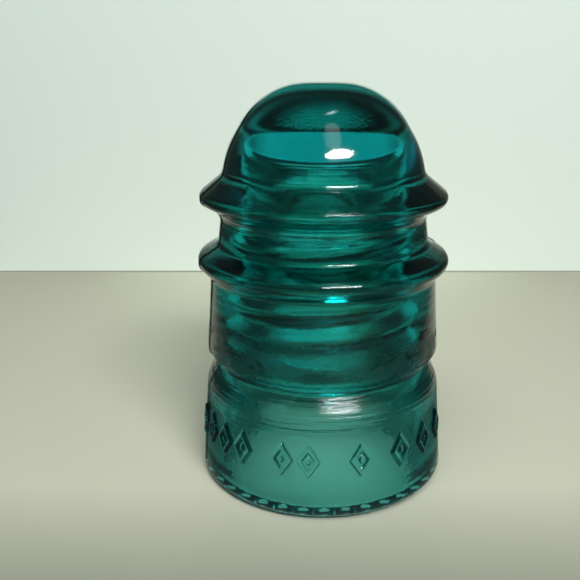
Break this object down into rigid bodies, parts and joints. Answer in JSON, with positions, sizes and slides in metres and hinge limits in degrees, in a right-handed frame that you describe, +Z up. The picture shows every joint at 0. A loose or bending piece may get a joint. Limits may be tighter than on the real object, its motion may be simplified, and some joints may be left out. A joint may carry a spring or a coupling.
{
  "type": "pin-type glass line insulator",
  "caption": "One-piece pressed-glass pin insulator with a domed crown, a wire groove between two ridges, a waisted skirt on drip points and a threaded pinhole.",
  "frame": {"origin": "on the axis of the pinhole, in the plane that the drip points stand on", "axes": "+Z up along the axis, from the drip points to the crown; +X and +Y are alike, with the mould seams on +X and -X"},
  "size_m": [0.0572, 0.0572, 0.0889],
  "materials": {
    "aqua_glass": "pressed glass, glossy, blue-green, slightly wavy from the mould"
  },
  "bodies": {
    "root": {"glass_insulator": "aqua_glass"}
  },
  "joints": []
}
